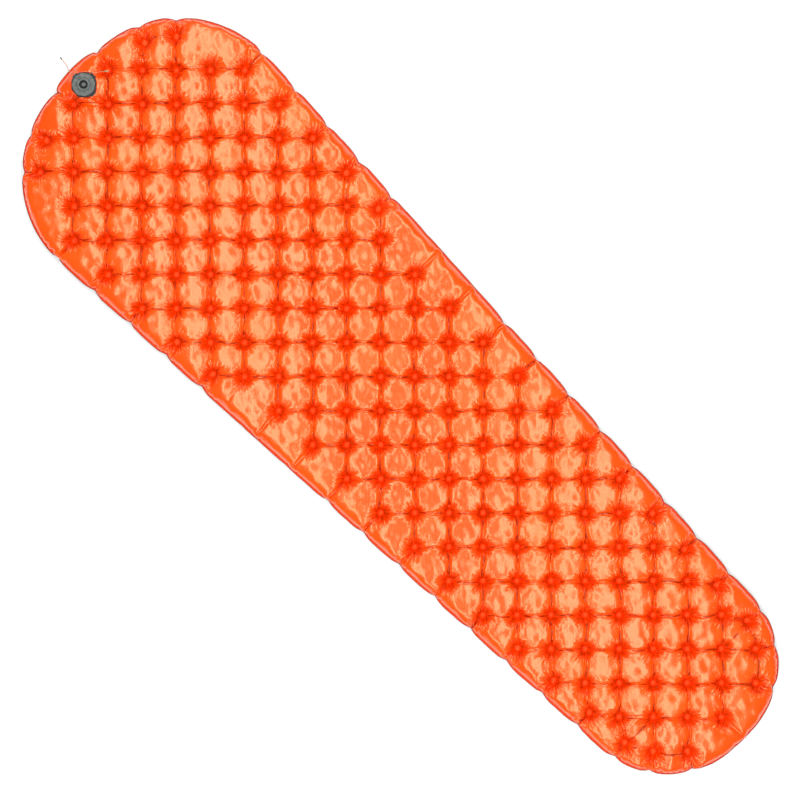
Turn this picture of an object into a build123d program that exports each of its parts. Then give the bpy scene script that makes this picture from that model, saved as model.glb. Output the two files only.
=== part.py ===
from build123d import *
import math
import os

# Inflatable sleeping pad: two welded sheets, an insulating layer between
# them, a two-cap air valve at the head and a tag string on the valve neck.
# Millimetres. +Y points to the head, +Z up, the pad lies on z = 0 and the
# origin is under the middle of the pad.

# ---- pad body
LENGTH = 1830.0
THICK = 50.0
MID = THICK / 2
SIDE_HEAD = (282.0, 660.0)
SIDE_FOOT = (207.0, -740.0)
HEAD_END_R = 370.0
HEAD_CORNER_R = 230.0
FOOT_END_R = 390.0
FOOT_CORNER_R = 190.0

WALL = 1.0
WELD_GAP = 0.5
FLANGE = 8.0
SHOULDER_R = 14.0

# ---- weld lattice: a square grid turned 45 degrees to the pad
STEP = 46.32
LATTICE_TOP = 675.7
EDGE_KEEP = 30.0
EDGE_CLEAR = 38.0
PUSHED_IN = [(3, -4), (4, 29), (4, 31)]
LEFT_OUT = [(5, -2)]
DIMPLE_TOP_R = 12.0
DIMPLE_FOOT_R = 4.5

# ---- insulating layer
FILL_THICK = 3.0
FILL_INSET = 16.0
FILL_HOLE_R = 9.0

# ---- valve
VALVE_X = -7.0
VALVE_Y = 868.0
NECK_OD = 36.0
NECK_ID = 30.0
NECK_TOP = 54.0
BASE_OD = 50.0
BASE_THICK = 1.2
GASKET_T = 0.5
PLATE1 = (54.6, 58.0)
PLATE1_ACROSS = 47.0
PLATE2 = (58.1, 60.3)
PLATE2_ACROSS = 45.0
CORNER_R = 5.0
SKIRT_OD = 29.4
SKIRT_ID = 24.0
SKIRT_FOOT = 48.6
SEAT_T = 1.2
PORT_R = 9.0
DISC_R = 16.0
DISC_TOP = 61.3
PLUG_OD = 17.4
PLUG_FOOT = 55.2
RECESS_R = 8.0
BOSS_R = 4.8
BOSS_TOP = 60.2
STEM_R = 1.5
BUTTON_R = 4.8
BUTTON_Z = (52.6, 54.7)
FLAP_R = 11.0
FLAP_Z = (47.9, 48.4)
HINGE_R = 1.6
HINGE1_Y = -(PLATE1_ACROSS / 2 + HINGE_R + 0.3)
HINGE1_Z = 56.3
HINGE2_Y = PLATE2_ACROSS / 2 + HINGE_R + 0.3
HINGE2_Z = 59.2
HINGE_LEN = 12.0

# ---- tag string
CORD_D = 1.4


UP = (0, 0, 1)


# ------------------------------------------------------------------ outline
def unit(x, y):
    n = math.hypot(x, y)
    return (x / n, y / n)


ALONG = unit(SIDE_HEAD[0] - SIDE_FOOT[0], SIDE_HEAD[1] - SIDE_FOOT[1])
NORMAL = (ALONG[1], -ALONG[0])
SIDE_C = NORMAL[0] * SIDE_HEAD[0] + NORMAL[1] * SIDE_HEAD[1]


def corner_centre(end, end_r, corner_r):
    """Centre of the corner arc that joins the right side to one end arc."""
    cy = end * (LENGTH / 2 - end_r)
    q = SIDE_C - corner_r
    off = cy * NORMAL[1] - q
    s = end * math.sqrt((end_r - corner_r) ** 2 - off ** 2)
    along = cy * ALONG[1] + s
    return (q * NORMAL[0] + along * ALONG[0], q * NORMAL[1] + along * ALONG[1])


HEAD_C = (0.0, LENGTH / 2 - HEAD_END_R)
FOOT_C = (0.0, FOOT_END_R - LENGTH / 2)
HEAD_CORNER = corner_centre(1, HEAD_END_R, HEAD_CORNER_R)
FOOT_CORNER = corner_centre(-1, FOOT_END_R, FOOT_CORNER_R)


def arc_points(centre, radius, d0, d1):
    """Start, middle and end of an arc between two directions."""
    dm = unit(d0[0] + d1[0], d0[1] + d1[1])
    return [(centre[0] + radius * d[0], centre[1] + radius * d[1]) for d in (d0, dm, d1)]


def outline(inset, z):
    """Closed outline of the pad, taken in by inset, at height z."""
    du = unit(HEAD_CORNER[0] - HEAD_C[0], HEAD_CORNER[1] - HEAD_C[1])
    dl = unit(FOOT_CORNER[0] - FOOT_C[0], FOOT_CORNER[1] - FOOT_C[1])
    head = arc_points(HEAD_C, HEAD_END_R - inset, (-du[0], du[1]), du)
    c1 = arc_points(HEAD_CORNER, HEAD_CORNER_R - inset, du, NORMAL)
    c2 = arc_points(FOOT_CORNER, FOOT_CORNER_R - inset, NORMAL, dl)
    foot = arc_points(FOOT_C, FOOT_END_R - inset, dl, (-dl[0], dl[1]))
    right = [c1, [c1[2], c2[0]], c2]
    left = [[(-x, y) for x, y in reversed(run)] for run in reversed(right)]
    edges = []
    for run in [head] + right + [foot] + left:
        pts = [(x, y, z) for x, y in run]
        edges.append(Line(*pts) if len(pts) == 2 else ThreePointArc(*pts))
    return Wire(edges)


def seam_distance(x, y):
    """Distance in from the outline and the outward direction, right half."""
    best = (SIDE_C - (NORMAL[0] * x + NORMAL[1] * y), NORMAL)
    arcs = [(HEAD_C, HEAD_END_R, y > HEAD_C[1] + 100),
            (FOOT_C, FOOT_END_R, y < FOOT_C[1] - 100)]
    for centre, radius, end in ((HEAD_CORNER, HEAD_CORNER_R, 1), (FOOT_CORNER, FOOT_CORNER_R, -1)):
        beyond = end * ((x - centre[0]) * ALONG[0] + (y - centre[1]) * ALONG[1]) > 0
        arcs.append((centre, radius, beyond and x > centre[0]))
    for centre, radius, applies in arcs:
        d = math.hypot(x - centre[0], y - centre[1])
        if applies and radius - d < best[0]:
            best = (radius - d, ((x - centre[0]) / d, (y - centre[1]) / d))
    return best


def weld_points():
    """Centres of the spot welds; those near the seam are moved inward."""
    out = []
    for m in range(-5, 35):
        for k in range(-6, 7):
            if (k + m) % 2 == 0 or (abs(k), m) in LEFT_OUT:
                continue
            x = abs(k) * STEP
            y = LATTICE_TOP - m * STEP
            dist, away = seam_distance(x, y)
            if dist < EDGE_KEEP and (abs(k), m) not in PUSHED_IN:
                continue
            if math.hypot(x - VALVE_X, y - VALVE_Y) < BASE_OD / 2 + DIMPLE_TOP_R:
                continue
            push = max(0.0, EDGE_CLEAR - dist)
            x -= push * away[0]
            y -= push * away[1]
            out.append((math.copysign(x, k) if k else 0.0, y))
    return out


WELDS = weld_points()


# --------------------------------------------------------------- pad sheets
def circle_wire(x, y, z, r):
    return Wire([Edge.make_circle(r, Plane((x, y, z)))])


def tray_faces(inset, z0, z1, radius, hole_r, valve_r):
    """Side, shoulder and pierced crown of one skin of a sheet."""
    tray = extrude(Face(outline(inset, z0)), z1 - z0, dir=UP)
    tray = fillet(tray.faces().sort_by(Axis.Z)[-1].edges(), radius)
    faces = tray.faces().sort_by(Axis.Z)
    crown = faces[-1]
    floor = faces[0]
    holes = [circle_wire(x, y, z1, hole_r) for x, y in WELDS]
    if valve_r:
        holes.append(circle_wire(VALVE_X, VALVE_Y, z1, valve_r))
    rest = [f for f in faces if f not in (crown, floor)]
    return rest + [Face(outline(inset + radius, z1), holes)]


def side_face(solid, kind):
    return solid.faces().filter_by(kind)[0]


def cup_faces(top_r, top_z, foot_r, foot_z):
    """Cone wall and disc of a dimple, once for each weld."""
    out = []
    for x, y in WELDS:
        cone = Solid.make_cone(foot_r, top_r, top_z - foot_z, Plane((x, y, foot_z)))
        out.append(side_face(cone, GeomType.CONE))
        out.append(Face(circle_wire(x, y, foot_z, foot_r)))
    return out


def sheet(valve_r):
    """The upper sheet as one thin closed solid, seam flange at mid height."""
    low = MID + WELD_GAP / 2
    high = low + WALL
    slope = (DIMPLE_TOP_R - DIMPLE_FOOT_R) / (THICK - high)
    skew = WALL * math.hypot(1, slope)
    inner_top = DIMPLE_TOP_R - slope * WALL + skew
    inner_foot = DIMPLE_FOOT_R - slope * WALL + skew
    faces = tray_faces(FLANGE, high, THICK, SHOULDER_R, DIMPLE_TOP_R, valve_r)
    faces += tray_faces(FLANGE + WALL, low, THICK - WALL, SHOULDER_R - WALL, inner_top, valve_r)
    faces += cup_faces(DIMPLE_TOP_R, THICK, DIMPLE_FOOT_R, high)
    faces += cup_faces(inner_top, THICK - WALL, inner_foot, low)
    faces.append(Face(outline(0, high), [outline(FLANGE, high)]))
    faces.append(Face(outline(0, low), [outline(FLANGE + WALL, low)]))
    rim = extrude(Face(outline(0, low)), WALL, dir=UP)
    faces += [f for f in rim.faces() if abs(f.normal_at().Z) < 0.5]
    if valve_r:
        bore = Solid.make_cylinder(valve_r, WALL, Plane((VALVE_X, VALVE_Y, THICK - WALL)))
        faces.append(side_face(bore, GeomType.CYLINDER))
    return Solid(Shell(faces))


def insulation():
    plate = Face(outline(FILL_INSET, MID - FILL_THICK / 2),
                 [circle_wire(x, y, MID - FILL_THICK / 2, FILL_HOLE_R) for x, y in WELDS])
    return extrude(plate, FILL_THICK, dir=UP)


def seam_weld():
    low = MID - WELD_GAP / 2
    return extrude(Face(outline(0, low), [outline(FLANGE, low)]), WELD_GAP, dir=UP)


def weld_spots():
    low = MID - WELD_GAP / 2
    return [Solid.make_cylinder(DIMPLE_FOOT_R, WELD_GAP, Plane((x, y, low))) for x, y in WELDS]


# -------------------------------------------------------------------- valve
def at_valve(part):
    return Pos(VALVE_X, VALVE_Y, 0) * part


def ring(outer, inner, z0, z1):
    body = Pos(0, 0, z0) * Cylinder(outer, z1 - z0, align=(Align.CENTER, Align.CENTER, Align.MIN))
    return body - Pos(0, 0, z0) * Cylinder(inner, z1 - z0, align=(Align.CENTER, Align.CENTER, Align.MIN))


def disc(radius, z0, z1):
    return Pos(0, 0, z0) * Cylinder(radius, z1 - z0, align=(Align.CENTER, Align.CENTER, Align.MIN))


def block(x, y, z):
    """Box from three (low, high) pairs."""
    centre = Pos((x[0] + x[1]) / 2, (y[0] + y[1]) / 2, (z[0] + z[1]) / 2)
    return centre * Box(x[1] - x[0], y[1] - y[0], z[1] - z[0])


def octagon(across, z):
    """Octagonal plate with flats on the axes and rounded corners."""
    flat = RegularPolygon(across / 2, 8, major_radius=False, rotation=22.5)
    return extrude(Pos(0, 0, z[0]) * fillet(flat.vertices(), CORNER_R), z[1] - z[0], dir=UP)


def valve_base():
    """Weld flange under the sheet and the neck that stands through it."""
    sheet_under = THICK - WALL
    base = disc(BASE_OD / 2, sheet_under - BASE_THICK, sheet_under)
    base += disc(NECK_OD / 2, sheet_under, NECK_TOP)
    base -= disc(NECK_ID / 2, sheet_under - BASE_THICK, NECK_TOP)
    return base


def deflate_cap():
    """Lower cap: octagonal plate, tapered skirt in the neck, air port."""
    plate = octagon(PLATE1_ACROSS, PLATE1)
    plate += block((PLATE1_ACROSS / 2 - 4, PLATE1_ACROSS / 2 + 3.5), (-6, 6), (PLATE1[0], PLATE1[0] + 2.0))
    top = plate.faces().sort_by(Axis.Z)[-1]
    plate = fillet(top.outer_wire().edges(), 0.6)
    skirt_h = PLATE1[0] - SKIRT_FOOT
    skirt = Pos(0, 0, SKIRT_FOOT) * Cone(SKIRT_OD / 2 - 1.1, SKIRT_OD / 2, skirt_h,
                                         align=(Align.CENTER, Align.CENTER, Align.MIN))
    cap = plate + skirt - disc(SKIRT_ID / 2, SKIRT_FOOT, PLATE1[0])
    return cap - disc(PORT_R, PLATE1[0], PLATE1[1])


def valve_seat():
    """Perforated disc in the skirt: guides the button, seats the flap."""
    z1 = SKIRT_FOOT + SEAT_T
    seat = disc(SKIRT_ID / 2, SKIRT_FOOT, z1) - disc(STEM_R + 0.2, SKIRT_FOOT, z1)
    hole = disc(2.3, SKIRT_FOOT, z1)
    return seat - [Rot(0, 0, a) * (Pos(6.2, 0, 0) * hole) for a in range(0, 360, 60)]


def release_button():
    stem = disc(STEM_R, FLAP_Z[0] - 0.6, BUTTON_Z[0])
    foot = disc(2.6, FLAP_Z[0] - 0.6, FLAP_Z[0])
    head = disc(BUTTON_R, BUTTON_Z[0], BUTTON_Z[1])
    head = fillet(head.faces().sort_by(Axis.Z)[-1].edges(), 0.6)
    return stem + foot + head


def flap_membrane():
    return disc(FLAP_R, FLAP_Z[0], FLAP_Z[1]) - disc(STEM_R, FLAP_Z[0], FLAP_Z[1])


def inflate_cap():
    """Upper cap: octagonal plate, raised disc and a hollow plug."""
    plate = octagon(PLATE2_ACROSS, PLATE2)
    plate = fillet(plate.faces().sort_by(Axis.Z)[-1].edges(), 0.7)
    lip = block((-7, 7), (-PLATE2_ACROSS / 2 - 1.5, -PLATE2_ACROSS / 2 + 4), (PLATE2[0], PLATE2[0] + 1.4))
    raised = disc(DISC_R, PLATE2[0], DISC_TOP)
    raised = fillet(raised.faces().sort_by(Axis.Z)[-1].edges(), 0.6)
    plug = disc(PLUG_OD / 2, PLUG_FOOT, PLATE2[0])
    plug = chamfer(plug.faces().sort_by(Axis.Z)[0].edges(), 0.5)
    cap = plate + lip + raised + plug
    cap -= disc(RECESS_R, PLUG_FOOT + 1.0, DISC_TOP)
    boss = disc(BOSS_R, PLUG_FOOT + 1.0, BOSS_TOP)
    return cap + fillet(boss.faces().sort_by(Axis.Z)[-1].edges(), 0.8)


def strap(hinge_y, hinge_z, foot_z, inner_y):
    """Moulded hinge strap: a roll on the axis, a web and a foot."""
    out = 1 if hinge_y > 0 else -1
    half = HINGE_LEN / 2
    roll = Pos(0, hinge_y, hinge_z) * (Rot(0, 90, 0) * Cylinder(HINGE_R, HINGE_LEN))
    web_y = sorted((hinge_y - 0.5 * out, hinge_y + 0.5 * out))
    web = block((-half, half), web_y, (foot_z[0], hinge_z))
    foot = block((-half, half), sorted((inner_y, hinge_y + 0.5 * out)), foot_z)
    return roll + web + foot


def deflate_strap():
    """Collar round the neck with the strap of the lower cap."""
    collar = ring(NECK_OD / 2 + 2.2, NECK_OD / 2, 50.3, 51.6)
    arm = strap(HINGE1_Y, HINGE1_Z, (50.3, 51.6), -NECK_OD / 2 - 1.5)
    return collar + arm


def inflate_strap():
    return strap(HINGE2_Y, HINGE2_Z, (55.4, 56.8), PLATE1_ACROSS / 2)


# --------------------------------------------------------------- tag string
def cord(points, diameter):
    """Tube of straight runs joined by tangent arcs; returns it and its path."""
    radii = []
    for a, b, c in zip(points, points[1:], points[2:]):
        u = Vector(*b) - Vector(*a)
        w = Vector(*c) - Vector(*b)
        half = math.radians(u.get_angle(w)) / 2
        radii.append(round(0.45 * min(u.length, w.length) / math.tan(half), 2))
    print("bend radii", radii)
    path = FilletPolyline(*points, radius=radii)
    tube = sweep(Plane(path @ 0, z_dir=path % 0) * Circle(diameter / 2), path=path)
    area = math.pi * diameter ** 2 / 4
    print("length %.1f volume %.1f expected %.1f" % (path.length, tube.volume, area * path.length))
    return tube


KNOT = (0.1, 887.5, 53.1)
KNOT_R = 1.4
LOOP = [(1.45, 886.85, 53.1), (10.7, 876.7, 53.1), (12.7, 864.9, 53.1), (8.0, 852.9, 53.1),
        (-3.0, 846.8, 53.1), (-15.4, 848.0, 53.1), (-24.7, 856.5, 53.1), (-27.3, 868.9, 53.1),
        (-22.6, 880.9, 53.1), (-12.2, 887.9, 53.1), (-1.4, 887.75, 53.1)]
LONG_TAIL = [(-0.35, 888.95, 53.1), (-3.2, 894.5, 52.3), (-6.6, 899.6, 51.1), (-8.6, 905.0, 47.6),
             (-9.2, 910.2, 40.5), (-8.0, 916.2, 30.5), (-6.4, 921.5, 19.0), (-4.8, 926.5, 8.0),
             (-3.6, 933.5, 1.9), (-2.6, 943.0, 1.5), (-2.2, 947.0, 1.5)]
SHORT_TAIL = [(1.45, 888.3, 53.1), (7.0, 889.5, 52.5), (13.5, 884.5, 51.4), (20.0, 876.5, 51.1),
              (27.5, 869.0, 51.1), (35.0, 863.5, 51.1), (39.5, 859.5, 51.8)]


def bead(at, toward, radius, length):
    """Crimp closed on a cord end: a short rounded barrel along the cord."""
    way = Vector(*toward) - Vector(*at)
    barrel = Cylinder(radius, length, align=(Align.CENTER, Align.CENTER, Align.MIN))
    barrel = fillet(barrel.edges().filter_by(GeomType.CIRCLE), radius * 0.35)
    return Plane(at, z_dir=way) * barrel


def along(a, b, extra):
    """The point extra millimetres past b on the line from a."""
    way = (Vector(*b) - Vector(*a)).normalized()
    end = Vector(*b) + way * extra
    return (end.X, end.Y, end.Z)


# ------------------------------------------------------------------- export
os.makedirs("parts", exist_ok=True)

top = sheet(NECK_OD / 2)
bottom = sheet(None).mirror(Plane.XY.offset(MID))
NODES = {
    "top_sheet": top,
    "bottom_sheet": bottom,
    "insulation_layer": insulation(),
    "seam_weld": seam_weld(),
    "weld_spots": Compound(children=weld_spots()),
    "valve_base": at_valve(valve_base()),
    "neck_gasket": at_valve(ring(NECK_OD / 2 - 0.3, NECK_ID / 2 + 0.3, NECK_TOP, NECK_TOP + GASKET_T)),
    "deflate_strap": at_valve(deflate_strap()),
    "deflate_cap": at_valve(deflate_cap()),
    "valve_seat": at_valve(valve_seat()),
    "inflate_strap": at_valve(inflate_strap()),
    "inflate_cap": at_valve(inflate_cap()),
    "release_button": at_valve(release_button()),
    "flap_membrane": at_valve(flap_membrane()),
    "tag_knot": Pos(*KNOT) * Sphere(KNOT_R),
    "tag_loop": cord(LOOP, CORD_D),
    "tag_long_tail": cord(LONG_TAIL, CORD_D),
    "tag_short_tail": cord(SHORT_TAIL, CORD_D),
    "long_tail_bead": bead(LONG_TAIL[-1], along(LONG_TAIL[-2], LONG_TAIL[-1], 5), 1.3, 5.0),
    "short_tail_crimp": bead(SHORT_TAIL[-1], along(SHORT_TAIL[-2], SHORT_TAIL[-1], 5), 1.5, 8.0),
}

for name, part in NODES.items():
    export_step(part, "parts/" + name + ".step")
    box = part.bounding_box()
    print("%-18s solids %3d vol %10.1f  %s %s" % (name, len(part.solids()), part.volume, box.min, box.max))
print("welds", len(WELDS))
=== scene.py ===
"""Inflatable sleeping pad: inflated sheets, valve, tag string and studio."""
import logging
import math
from dataclasses import dataclass, field
from enum import Enum

import bpy
import numpy as np
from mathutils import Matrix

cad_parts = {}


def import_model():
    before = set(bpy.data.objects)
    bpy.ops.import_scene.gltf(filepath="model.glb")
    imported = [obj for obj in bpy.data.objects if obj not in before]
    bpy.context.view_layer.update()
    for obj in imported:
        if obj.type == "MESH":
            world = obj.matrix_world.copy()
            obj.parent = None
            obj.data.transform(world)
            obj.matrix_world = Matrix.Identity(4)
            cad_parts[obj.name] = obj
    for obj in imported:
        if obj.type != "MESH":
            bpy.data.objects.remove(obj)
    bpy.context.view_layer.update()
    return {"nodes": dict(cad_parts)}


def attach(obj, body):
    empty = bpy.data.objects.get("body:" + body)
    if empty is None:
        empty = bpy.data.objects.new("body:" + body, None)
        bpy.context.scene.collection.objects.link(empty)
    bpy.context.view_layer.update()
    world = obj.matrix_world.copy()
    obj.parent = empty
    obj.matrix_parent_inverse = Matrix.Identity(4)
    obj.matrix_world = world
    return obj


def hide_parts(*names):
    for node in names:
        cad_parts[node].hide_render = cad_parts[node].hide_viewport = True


LOG = logging.getLogger("sleeping_pad")
MM = 0.001
FAR = 60.0
Pair = tuple[float, float]
Triple = tuple[float, float, float]


class Face(Enum):
    """Which sheet of the pad a piece belongs to."""

    UPPER = "upper"
    LOWER = "lower"


class Lay(Enum):
    """How a run of the tag string lies."""

    LOOSE = "loose"
    TAUT = "taut"


def ramp(low: float, high: float, value: np.ndarray) -> np.ndarray:
    """Smooth step from 0 to 1 between two levels.

    Args:
        low: Level that gives 0.
        high: Level that gives 1.
        value: Values to map.

    Returns:
        The mapped values.
    """
    t = np.clip((value - low) / (high - low), 0.0, 1.0)
    return t * t * (3.0 - 2.0 * t)


def unit(x: float, y: float) -> Pair:
    """Scale a plane vector to length one.

    Args:
        x: First part.
        y: Second part.

    Returns:
        The scaled vector.
    """
    size = math.hypot(x, y)
    return (x / size, y / size)


@dataclass
class PadOutline:
    """Plan shape of the pad, in millimetres: two ends, four corners, two sides."""

    length: float = 1830.0
    side_head: Pair = (282.0, 660.0)
    side_foot: Pair = (207.0, -740.0)
    head_end: float = 370.0
    head_corner: float = 230.0
    foot_end: float = 390.0
    foot_corner: float = 190.0

    def __post_init__(self) -> None:
        """Work out the side line and the arc centres."""
        self.along = unit(self.side_head[0] - self.side_foot[0], self.side_head[1] - self.side_foot[1])
        self.normal = (self.along[1], -self.along[0])
        self.reach = self.normal[0] * self.side_head[0] + self.normal[1] * self.side_head[1]
        self.head = (0.0, self.length / 2 - self.head_end)
        self.foot = (0.0, self.foot_end - self.length / 2)
        self.corners = (self._corner(1, self.head_end, self.head_corner),
                        self._corner(-1, self.foot_end, self.foot_corner))

    def _corner(self, end: int, end_r: float, corner_r: float) -> Pair:
        """Centre of the arc between the right side and one end.

        Args:
            end: 1 for the head, -1 for the foot.
            end_r: Radius of the end arc.
            corner_r: Radius of the corner arc.

        Returns:
            The centre of the corner arc.
        """
        cy = end * (self.length / 2 - end_r)
        q = self.reach - corner_r
        off = cy * self.normal[1] - q
        run = cy * self.along[1] + end * math.sqrt((end_r - corner_r) ** 2 - off ** 2)
        return (q * self.normal[0] + run * self.along[0], q * self.normal[1] + run * self.along[1])

    def depth(self, points: np.ndarray) -> tuple[np.ndarray, np.ndarray]:
        """Distance in from the outline and the outward direction.

        Args:
            points: Plan points, last axis x and y.

        Returns:
            The distances, and unit vectors that point out.
        """
        x = np.abs(points[..., 0])
        y = points[..., 1]
        best = self.reach - (self.normal[0] * x + self.normal[1] * y)
        ox = np.full(x.shape, self.normal[0])
        oy = np.full(x.shape, self.normal[1])
        arcs = [(self.head, self.head_end, y > self.head[1] + 100.0),
                (self.foot, self.foot_end, y < self.foot[1] - 100.0)]
        for centre, radius, end in zip(self.corners, (self.head_corner, self.foot_corner), (1, -1)):
            past = end * ((x - centre[0]) * self.along[0] + (y - centre[1]) * self.along[1]) > 0
            arcs.append((centre, radius, past & (x > centre[0])))
        for centre, radius, where in arcs:
            dx = x - centre[0]
            dy = y - centre[1]
            d = np.hypot(dx, dy) + 1e-9
            use = where & (radius - d < best)
            best = np.where(use, radius - d, best)
            ox = np.where(use, dx / d, ox)
            oy = np.where(use, dy / d, oy)
        return best, np.stack([ox * np.where(points[..., 0] < 0, -1.0, 1.0), oy], -1)

    def loop(self, count: int) -> np.ndarray:
        """Evenly spread points round the outline.

        Args:
            count: How many points.

        Returns:
            The points, in order round the pad.
        """
        angle = np.linspace(0.0, 2 * np.pi, 6000, endpoint=False)
        ray = np.stack([np.sin(angle) * 0.31, np.cos(angle)], -1)
        ray /= np.linalg.norm(ray, axis=1)[:, None]
        low = np.zeros(len(angle))
        high = np.full(len(angle), 1200.0)
        for _ in range(40):
            mid = (low + high) / 2
            inside = self.depth(ray * mid[:, None])[0] > 0
            low = np.where(inside, mid, low)
            high = np.where(inside, high, mid)
        path = ray * low[:, None]
        step = np.linalg.norm(np.roll(path, -1, 0) - path, axis=1)
        total = np.concatenate([[0.0], np.cumsum(step)])
        want = np.linspace(0.0, total[-1], count, endpoint=False)
        closed = np.vstack([path, path[:1]])
        return np.stack([np.interp(want, total, closed[:, k]) for k in (0, 1)], -1)


@dataclass
class WeldLattice:
    """Spot welds of the pad: a square grid turned 45 degrees to its length.

    A weld nearer to the outline than keep is left out, and one nearer than
    clear is moved in. Pushed welds are kept and moved in wherever they fall.
    """

    outline: PadOutline
    step: float = 46.32
    top: float = 675.7
    keep: float = 30.0
    clear: float = 38.0
    outer: float = 62.0
    seam: float = 4.0
    join: float = 1.13
    pushed: tuple[tuple[int, int], ...] = ((3, -4), (4, 29), (4, 31))
    left_out: tuple[tuple[int, int], ...] = ((5, -2),)
    valve: Pair = (-7.0, 868.0)
    valve_clear: float = 37.0

    def __post_init__(self) -> None:
        """Place the welds, the seam notches and the folds between them."""
        self.pitch = self.step * math.sqrt(2.0)
        self.points = self._welds()
        self.notches = self._seam_notches()
        self.folds = self._fold_lines()

    def _welds(self) -> np.ndarray:
        """Place the spot welds.

        Returns:
            The centres of all welds, mirrored about the length of the pad.
        """
        out = []
        for m in range(-5, 35):
            for k in range(-6, 7):
                if (k + m) % 2 == 0 or (abs(k), m) in self.left_out:
                    continue
                spot = np.array([abs(k) * self.step, self.top - m * self.step])
                dist, away = self.outline.depth(spot[None])
                if dist[0] < self.keep and (abs(k), m) not in self.pushed:
                    continue
                if math.hypot(spot[0] - self.valve[0], spot[1] - self.valve[1]) < self.valve_clear:
                    continue
                spot = spot - max(0.0, self.clear - dist[0]) * away[0]
                out.append((math.copysign(spot[0], k) if k else 0.0, spot[1]))
        return np.array(out)

    def _seam_notches(self) -> np.ndarray:
        """Find the points of the outline that the outer welds draw in.

        Returns:
            One point of the outline for each outer weld.
        """
        dist, away = self.outline.depth(self.points)
        near = dist < self.outer
        return self.points[near] + away[near] * dist[near][:, None]

    def _fold_lines(self) -> list[tuple[np.ndarray, np.ndarray]]:
        """Join each weld to its neighbours and the outer welds to the seam.

        Returns:
            Both ends of each fold.
        """
        out = []
        for i, a in enumerate(self.points):
            gap = np.hypot(*(self.points[i + 1:] - a).T)
            out += [(a, b) for b in self.points[i + 1:][gap < self.pitch * self.join]]
        dist, away = self.outline.depth(self.points)
        for spot, d, way in zip(self.points, dist, away):
            if d < self.outer:
                out.append((spot, spot + way * (d - self.seam)))
        return out

    def nearest(self, points: np.ndarray) -> tuple[np.ndarray, np.ndarray]:
        """Distance to the nearest weld and which one it is.

        Args:
            points: Plan points.

        Returns:
            The distances and the weld numbers.
        """
        best = np.full(len(points), 1e9)
        which = np.zeros(len(points), int)
        for number, (x, y) in enumerate(self.points):
            near = np.flatnonzero((np.abs(points - (x, y)) < 95.0).all(1))
            d = np.hypot(points[near, 0] - x, points[near, 1] - y)
            closer = d < best[near]
            best[near[closer]] = d[closer]
            which[near[closer]] = number
        return best, which

    def fold_distance(self, points: np.ndarray) -> np.ndarray:
        """Distance from each plan point to the nearest fold line.

        Args:
            points: Plan points.

        Returns:
            The distances, up to the far value.
        """
        best = np.full(len(points), FAR)
        for a, b in self.folds:
            mid = (a + b) / 2
            near = np.flatnonzero((np.abs(points - mid) < 75.0).all(1))
            rel = points[near] - a
            run = b - a
            t = np.clip(rel @ run / (run @ run), 0.0, 1.0)
            d = np.hypot(*(rel - t[:, None] * run).T)
            best[near] = np.minimum(best[near], d)
        return best

    def notch_pull(self, on_rim: np.ndarray, width: float) -> np.ndarray:
        """How strongly each rim point is drawn in, from 0 to 1.

        Args:
            on_rim: Points of the outline.
            width: Half width of a notch.

        Returns:
            The pull at each point.
        """
        pull = np.zeros(len(on_rim))
        for spot in self.notches:
            d = np.hypot(*(on_rim - spot).T)
            pull = np.maximum(pull, np.exp(-(d / width) ** 1.3))
        return pull


def ripple(points: np.ndarray, wave: float, seed: int) -> np.ndarray:
    """Smooth random field made of a few crossed waves.

    Args:
        points: Plan points in millimetres.
        wave: Middle wavelength in millimetres.
        seed: Number that fixes the field.

    Returns:
        Values from about -1 to 1.
    """
    rng = np.random.default_rng(seed)
    out = np.zeros(len(points))
    for _ in range(9):
        angle = rng.uniform(0, 2 * np.pi)
        size = 2 * np.pi / (wave * rng.uniform(0.7, 1.5))
        shift = rng.uniform(0, 2 * np.pi)
        out += np.sin(size * (points[:, 0] * math.cos(angle) + points[:, 1] * math.sin(angle)) + shift)
    return out / 4.0


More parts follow.
